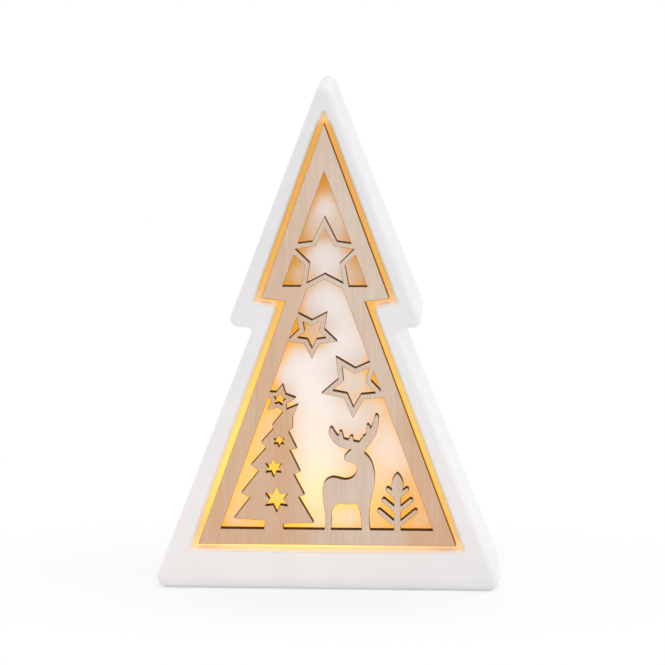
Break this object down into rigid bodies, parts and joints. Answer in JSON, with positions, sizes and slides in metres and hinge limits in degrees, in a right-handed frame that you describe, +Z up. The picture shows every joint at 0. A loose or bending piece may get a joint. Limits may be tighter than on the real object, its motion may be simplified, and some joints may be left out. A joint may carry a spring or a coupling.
{
  "type": "ceramic christmas tree",
  "caption": "Hollow white porcelain tree with a lit front recess, a fretwork plywood panel of stars, fir, reindeer and twig, and a battery light unit in its back.",
  "frame": {"origin": "middle of the underside, on the surface the tree stands on", "axes": "+Z up, +Y to the back, +X to the right seen from the front"},
  "size_m": [0.1688, 0.0498, 0.2493],
  "materials": {
    "porcelain": "matte unglazed",
    "plywood": "bare sanded plywood with laser-burnt edges",
    "peg_wood": "bare turned wood",
    "white_plastic": "fine moulded grain",
    "foam": "closed-cell foam",
    "cell_jacket": "satin jacket on a bare can",
    "nickel": "nickel plated",
    "black_plastic": "fine moulded grain",
    "board": "solder resist",
    "lamp": "clear warm epoxy",
    "resistor_body": "lacquered",
    "screw_steel": "zinc plated",
    "red_cover": "soft vinyl",
    "black_cover": "soft vinyl",
    "white_cover": "soft vinyl"
  },
  "bodies": {
    "tree": {"ceramic_body": "porcelain", "wood_panel": "plywood", "panel_spacers": "peg_wood", "light_housing": "white_plastic", "housing_gasket": "foam", "battery_1": "cell_jacket", "battery_2": "cell_jacket", "battery_3": "cell_jacket", "negative_contact": "nickel", "positive_contact": "nickel", "bridge_contact_left": "nickel", "bridge_contact_right": "nickel", "switch_body": "black_plastic", "circuit_board": "board", "leds": "lamp", "resistor": "resistor_body", "board_screws": "screw_steel", "red_wire": "red_cover", "black_wire": "black_cover", "white_wire": "white_cover"},
    "lid": {"battery_lid": "white_plastic"},
    "knob": {"switch_knob": "black_plastic"}
  },
  "joints": [
    {"name": "lid_hinge", "type": "hinge", "parent": "tree", "child": "lid", "pos_m": [-0.0067, 0.0217, 0.02655], "axis": [-1, 0, 0], "range_deg": [0, 90]},
    {"name": "knob_slide", "type": "slide", "parent": "tree", "child": "knob", "axis": [0, 0, -1], "range_m": [0, 0.004]}
  ]
}
